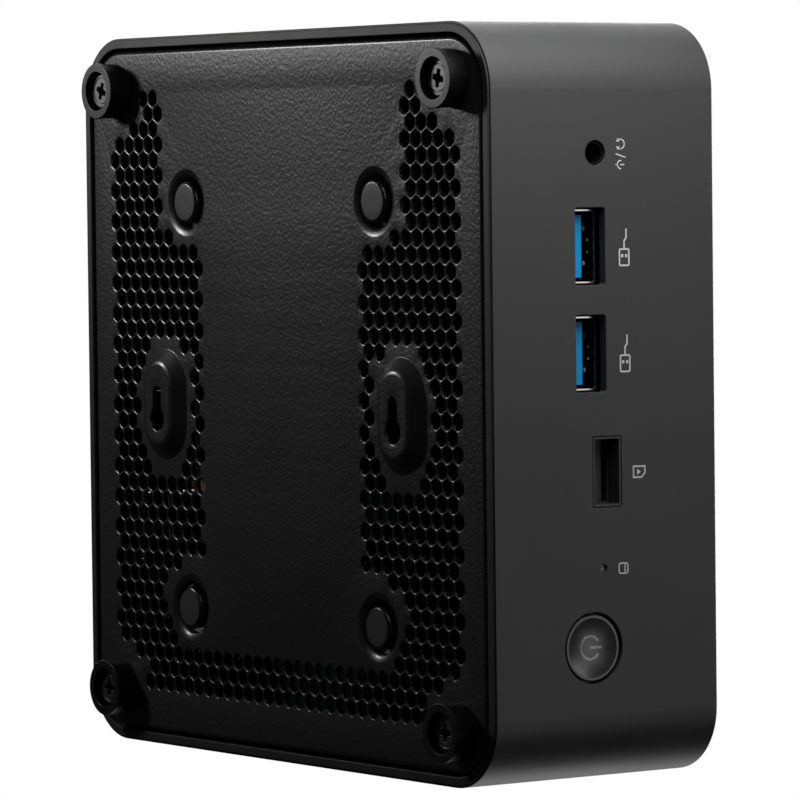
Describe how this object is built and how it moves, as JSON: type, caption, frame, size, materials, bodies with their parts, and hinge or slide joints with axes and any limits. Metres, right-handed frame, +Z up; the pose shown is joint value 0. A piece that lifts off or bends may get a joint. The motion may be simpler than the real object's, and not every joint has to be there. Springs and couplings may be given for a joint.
{
  "type": "mini pc",
  "caption": "Small square desktop computer with front and rear ports, a power button, a cooling blower and a screwed-on vented bottom cover with rubber feet and wall-hanging keyholes.",
  "frame": {"origin": "middle of the box that holds the part, on the plane its four rubber feet stand on", "axes": "+Z up, -Y out of the front panel with the power button, +X to the right seen from the front"},
  "size_m": [0.1356, 0.1336, 0.0541],
  "materials": {
    "shell_plastic": "fine spark-eroded matte black",
    "top_gloss": "gloss black insert panel",
    "cover_paint": "black textured powder coat on sheet steel",
    "foot_rubber": "black rubber",
    "dark_plastic": "black moulded plastic",
    "button_plastic": "satin black",
    "fan_plastic": "black moulded plastic",
    "screw_black": "black zinc plated",
    "screw_steel": "bright zinc plated",
    "brass": "machined",
    "plated_steel": "nickel plated sheet",
    "blue_plastic": "blue moulded plastic",
    "gold_contact": "gold flashed contacts",
    "board_green": "solder mask over glass laminate",
    "chip_black": "moulded epoxy packages",
    "silicon": "laminate carrier with polished dies",
    "copper": "bare copper",
    "fin_aluminium": "folded sheet fins",
    "blower_metal": "satin sheet",
    "wire_rubber": "insulated wire",
    "white_plastic": "natural moulded plastic",
    "clear_plastic": "frosted clear light pipe",
    "antenna_foil": "foil on film"
  },
  "bodies": {
    "chassis": {"housing": "shell_plastic", "top_panel": "top_gloss", "brass_inserts": "brass", "power_switch": "dark_plastic", "led_light_pipe": "clear_plastic", "audio_jack": "dark_plastic", "audio_jack_contacts": "gold_contact", "usb_front_shells": "plated_steel", "usb_front_tongues": "blue_plastic", "usb_front_contacts": "gold_contact", "card_slot_bezel": "shell_plastic", "card_reader": "plated_steel", "card_reader_contacts": "gold_contact", "mainboard": "board_green", "board_screws": "screw_steel", "board_parts": "chip_black", "processor": "silicon", "cold_plate": "copper", "cooler_screws": "screw_steel", "heat_pipes": "copper", "fin_stack": "fin_aluminium", "blower_base": "dark_plastic", "blower_cover": "blower_metal", "blower_screws": "screw_steel", "fan_bearing": "brass", "fan_stator": "dark_plastic", "fan_cable": "wire_rubber", "fan_connector": "white_plastic", "memory_sockets": "dark_plastic", "memory_modules": "board_green", "memory_chips": "chip_black", "ssd_socket": "dark_plastic", "ssd_module": "board_green", "ssd_chips": "chip_black", "ssd_screw": "screw_steel", "wireless_card": "plated_steel", "antennas": "antenna_foil", "antenna_cables": "wire_rubber", "coin_cell": "screw_steel", "coin_cell_holder": "dark_plastic", "rear_io_plate": "plated_steel", "dc_inlet": "dark_plastic", "dc_inlet_pin": "plated_steel", "video_port_shells": "plated_steel", "video_port_tongues": "dark_plastic", "network_jack": "dark_plastic", "network_jack_contacts": "gold_contact", "usb_rear_shells": "plated_steel", "usb_rear_tongues": "blue_plastic", "usb_rear_contacts": "gold_contact"},
    "cover": {"bottom_cover": "cover_paint", "rubber_feet": "foot_rubber", "hole_plugs": "dark_plastic"},
    "button": {"power_button": "button_plastic", "switch_plunger": "dark_plastic"},
    "fan": {"impeller": "fan_plastic"},
    "screw_front_left": {"cover_screw_front_left": "screw_black"},
    "screw_front_right": {"cover_screw_front_right": "screw_black"},
    "screw_rear_left": {"cover_screw_rear_left": "screw_black"},
    "screw_rear_right": {"cover_screw_rear_right": "screw_black"}
  },
  "joints": [
    {"name": "power_button_press", "type": "slide", "parent": "chassis", "child": "button", "axis": [0, 1, 0], "range_m": [0, 0.0005], "stiffness_N_per_m": 2500},
    {"name": "fan_spin", "type": "hinge", "parent": "chassis", "child": "fan", "pos_m": [0, -0.008, 0.043], "axis": [0, 0, 1], "continuous": true},
    {"name": "cover_lift_off", "type": "slide", "parent": "chassis", "child": "cover", "axis": [0, 0, -1], "range_m": [0, 0.06]},
    {"name": "screw_front_left_turn", "type": "hinge", "parent": "cover", "child": "screw_front_left", "pos_m": [-0.0577, -0.0558, 0.002], "axis": [0, 0, 1], "continuous": true},
    {"name": "screw_front_right_turn", "type": "hinge", "parent": "cover", "child": "screw_front_right", "pos_m": [0.0577, -0.0558, 0.002], "axis": [0, 0, 1], "continuous": true},
    {"name": "screw_rear_left_turn", "type": "hinge", "parent": "cover", "child": "screw_rear_left", "pos_m": [-0.0577, 0.0558, 0.002], "axis": [0, 0, 1], "continuous": true},
    {"name": "screw_rear_right_turn", "type": "hinge", "parent": "cover", "child": "screw_rear_right", "pos_m": [0.0577, 0.0558, 0.002], "axis": [0, 0, 1], "continuous": true}
  ]
}
